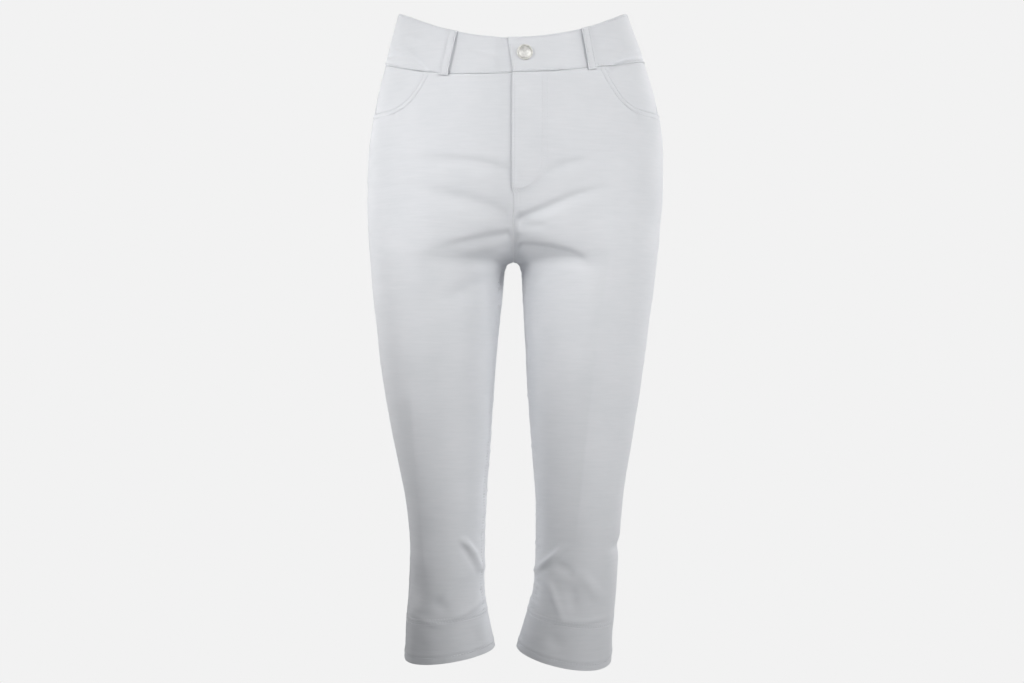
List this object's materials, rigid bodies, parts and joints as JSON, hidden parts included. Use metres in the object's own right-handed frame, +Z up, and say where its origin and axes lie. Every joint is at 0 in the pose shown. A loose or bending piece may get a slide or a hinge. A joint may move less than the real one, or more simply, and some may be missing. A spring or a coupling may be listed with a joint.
{
  "type": "capri pants",
  "caption": "Close-fitting capri pants in their worn, hollow shape, with belt loops, scooped front pockets, a fly under a lapped waistband with a shank button, and deep stitched hems.",
  "frame": {"origin": "middle of the waist opening, level with the middle of the waistband's upper edge", "axes": "+X to the wearer's left, -Y the wearer's front, +Z up out of the waist opening"},
  "size_m": [0.3359, 0.2335, 0.7358],
  "materials": {
    "white_twill": "white cotton stretch twill with matching thread",
    "zip_tape": "woven zip tape",
    "button_metal": "satin nickel-plated brass"
  },
  "bodies": {
    "root": {"front_left": "white_twill", "front_right": "white_twill", "back_left": "white_twill", "back_right": "white_twill", "yoke_left": "white_twill", "yoke_right": "white_twill", "waistband_left": "white_twill", "waistband_right": "white_twill", "hem_left": "white_twill", "hem_right": "white_twill", "pocket_facing_left": "white_twill", "pocket_facing_right": "white_twill", "belt_loop_1": "white_twill", "belt_loop_2": "white_twill", "belt_loop_3": "white_twill", "belt_loop_4": "white_twill", "belt_loop_5": "white_twill", "fly_facing": "white_twill", "fly_shield": "white_twill", "zip_tape": "zip_tape", "zip_slider": "button_metal", "button": "button_metal", "button_tack": "button_metal"}
  },
  "joints": []
}
